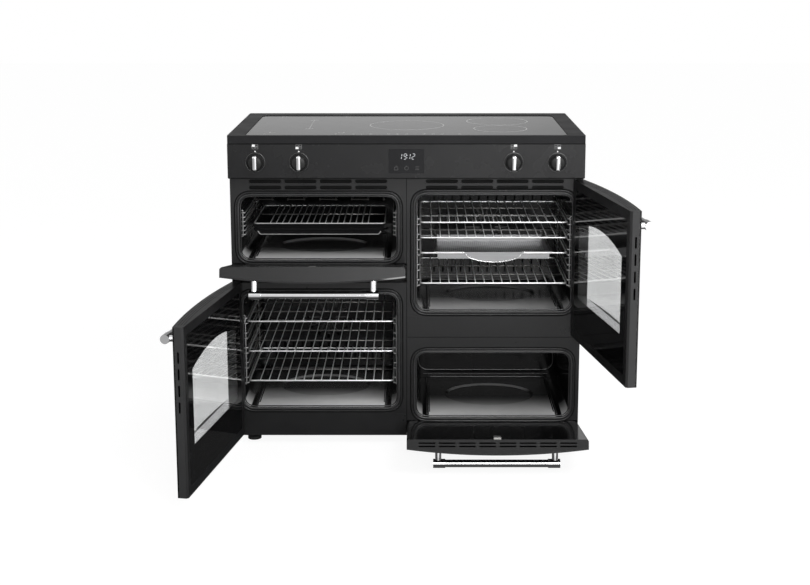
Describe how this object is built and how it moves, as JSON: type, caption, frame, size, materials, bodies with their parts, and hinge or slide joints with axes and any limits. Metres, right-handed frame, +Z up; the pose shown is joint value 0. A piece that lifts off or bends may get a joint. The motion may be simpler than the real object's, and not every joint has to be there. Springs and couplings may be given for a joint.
{
  "type": "range cooker with double oven",
  "caption": "Free-standing range cooker with an induction hob, two tall side-hinged ovens, a drop-door grill and a slow-cook oven, shown with its doors open.",
  "frame": {"origin": "on the floor, under the middle of the cabinet's width and the middle of the hob's depth", "axes": "+X to the cooker's right as seen from the front, +Y to the back, +Z up"},
  "size_m": [1.2676, 1.0069, 0.915],
  "materials": {
    "black_paint": "satin black paint",
    "galvanised": "plain zinc-coated sheet",
    "base_sheet": "plain zinc-coated sheet",
    "foot_black": "black moulded feet",
    "dark_sheet": "semi-matt dark grey coating",
    "hob_glass": "black ceramic glass, polished",
    "copper": "wound copper wire",
    "fascia": "gloss black enamel",
    "display": "black glass, polished",
    "enamel": "vitreous enamel, black with fine grey speckle",
    "seal": "woven and silicone seal, matt",
    "bright_wire": "bright chromed wire",
    "element": "heat-tinted sheath",
    "motor": "plain cast and pressed metal",
    "lamp": "clear heat-proof glass",
    "hinge_steel": "zinc-plated steel",
    "switch": "pale moulded plastic",
    "door_glass": "smoked glass, black printed border, polished",
    "handle_chrome": "polished chrome",
    "stainless": "brushed stainless steel",
    "pan_enamel": "black vitreous enamel, glossy",
    "knob": "black knob with a chromed grip bar",
    "fan": "plain pressed steel"
  },
  "bodies": {
    "cabinet": {"side_panels": "black_paint", "back_panel": "galvanised", "base_tray": "base_sheet", "levelling_feet": "foot_black", "hob_surround": "dark_sheet", "hob_glass": "hob_glass", "induction_coils": "copper", "control_fascia": "fascia", "display_panel": "display", "front_frame_grill": "enamel", "front_frame_main": "enamel", "front_frame_tall": "enamel", "front_frame_slow": "enamel", "cavity_grill": "enamel", "cavity_main": "enamel", "cavity_tall": "enamel", "cavity_slow": "enamel", "door_seals": "seal", "side_ladders": "bright_wire", "grill_element": "element", "fan_covers": "enamel", "ring_elements": "element", "fan_motors": "motor", "lamp_lenses": "lamp", "hinge_and_catch_plates": "hinge_steel", "knob_switches": "switch"},
    "door_main": {"door_main_frame": "enamel", "door_main_outer_glass": "door_glass", "door_main_inner_glass": "door_glass", "door_main_handle": "handle_chrome", "door_main_pins": "hinge_steel"},
    "door_tall": {"door_tall_frame": "enamel", "door_tall_outer_glass": "door_glass", "door_tall_inner_glass": "door_glass", "door_tall_handle": "handle_chrome", "door_tall_pins": "hinge_steel"},
    "door_grill": {"door_grill_frame": "enamel", "door_grill_outer_glass": "door_glass", "door_grill_handle": "handle_chrome", "door_grill_pins": "hinge_steel"},
    "door_slow": {"door_slow_frame": "enamel", "door_slow_outer_glass": "door_glass", "door_slow_handle": "handle_chrome", "door_slow_pins": "hinge_steel"},
    "rack_main_low": {"rack_main_low": "bright_wire"},
    "rack_main_mid": {"rack_main_mid": "bright_wire"},
    "rack_main_high": {"rack_main_high": "bright_wire"},
    "rack_tall_low": {"rack_tall_low": "bright_wire"},
    "rack_tall_mid": {"rack_tall_mid": "bright_wire"},
    "rack_tall_high": {"rack_tall_high": "bright_wire"},
    "steam_tray": {"tray_carrier": "bright_wire", "steam_tray": "stainless"},
    "grill_pan": {"grill_pan": "pan_enamel", "grill_grid": "bright_wire"},
    "knob_outer_left": {"knob_outer_left": "knob"},
    "knob_inner_left": {"knob_inner_left": "knob"},
    "knob_inner_right": {"knob_inner_right": "knob"},
    "knob_outer_right": {"knob_outer_right": "knob"},
    "fan_main": {"fan_main": "fan"},
    "fan_tall": {"fan_tall": "fan"}
  },
  "joints": [
    {"name": "door_main_hinge", "type": "hinge", "parent": "cabinet", "child": "door_main", "pos_m": [-0.486, -0.2545, 0.2625], "axis": [0, 0, -1], "range_deg": [-100, 0]},
    {"name": "door_tall_hinge", "type": "hinge", "parent": "cabinet", "child": "door_tall", "pos_m": [0.486, -0.2545, 0.5595], "axis": [0, 0, 1], "range_deg": [-100, 0]},
    {"name": "door_grill_hinge", "type": "hinge", "parent": "cabinet", "child": "door_grill", "pos_m": [-0.24925, -0.2545, 0.532], "axis": [1, 0, 0], "range_deg": [-79, 0]},
    {"name": "door_slow_hinge", "type": "hinge", "parent": "cabinet", "child": "door_slow", "pos_m": [0.24925, -0.2545, 0.062], "axis": [1, 0, 0], "range_deg": [-81, 0]},
    {"name": "rack_main_low_slide", "type": "slide", "parent": "cabinet", "child": "rack_main_low", "axis": [0, -1, 0], "range_m": [0, 0.25]},
    {"name": "rack_main_mid_slide", "type": "slide", "parent": "cabinet", "child": "rack_main_mid", "axis": [0, -1, 0], "range_m": [0, 0.25]},
    {"name": "rack_main_high_slide", "type": "slide", "parent": "cabinet", "child": "rack_main_high", "axis": [0, -1, 0], "range_m": [0, 0.25]},
    {"name": "rack_tall_low_slide", "type": "slide", "parent": "cabinet", "child": "rack_tall_low", "axis": [0, -1, 0], "range_m": [0, 0.25]},
    {"name": "rack_tall_mid_slide", "type": "slide", "parent": "cabinet", "child": "rack_tall_mid", "axis": [0, -1, 0], "range_m": [0, 0.25]},
    {"name": "rack_tall_high_slide", "type": "slide", "parent": "cabinet", "child": "rack_tall_high", "axis": [0, -1, 0], "range_m": [0, 0.25]},
    {"name": "steam_tray_slide", "type": "slide", "parent": "cabinet", "child": "steam_tray", "axis": [0, -1, 0], "range_m": [0, 0.25]},
    {"name": "grill_pan_slide", "type": "slide", "parent": "cabinet", "child": "grill_pan", "axis": [0, -1, 0], "range_m": [0, 0.2]},
    {"name": "knob_outer_left_turn", "type": "hinge", "parent": "cabinet", "child": "knob_outer_left", "pos_m": [-0.422, -0.274, 0.84], "axis": [0, 1, 0], "range_deg": [0, 300]},
    {"name": "knob_inner_left_turn", "type": "hinge", "parent": "cabinet", "child": "knob_inner_left", "pos_m": [-0.3, -0.274, 0.84], "axis": [0, 1, 0], "range_deg": [0, 300]},
    {"name": "knob_inner_right_turn", "type": "hinge", "parent": "cabinet", "child": "knob_inner_right", "pos_m": [0.3, -0.274, 0.84], "axis": [0, 1, 0], "range_deg": [0, 300]},
    {"name": "knob_outer_right_turn", "type": "hinge", "parent": "cabinet", "child": "knob_outer_right", "pos_m": [0.422, -0.274, 0.84], "axis": [0, 1, 0], "range_deg": [0, 300]},
    {"name": "fan_main_spin", "type": "hinge", "parent": "cabinet", "child": "fan_main", "pos_m": [-0.25, 0.16, 0.283], "axis": [0, 1, 0], "continuous": true},
    {"name": "fan_tall_spin", "type": "hinge", "parent": "cabinet", "child": "fan_tall", "pos_m": [0.25, 0.16, 0.573], "axis": [0, 1, 0], "continuous": true}
  ]
}
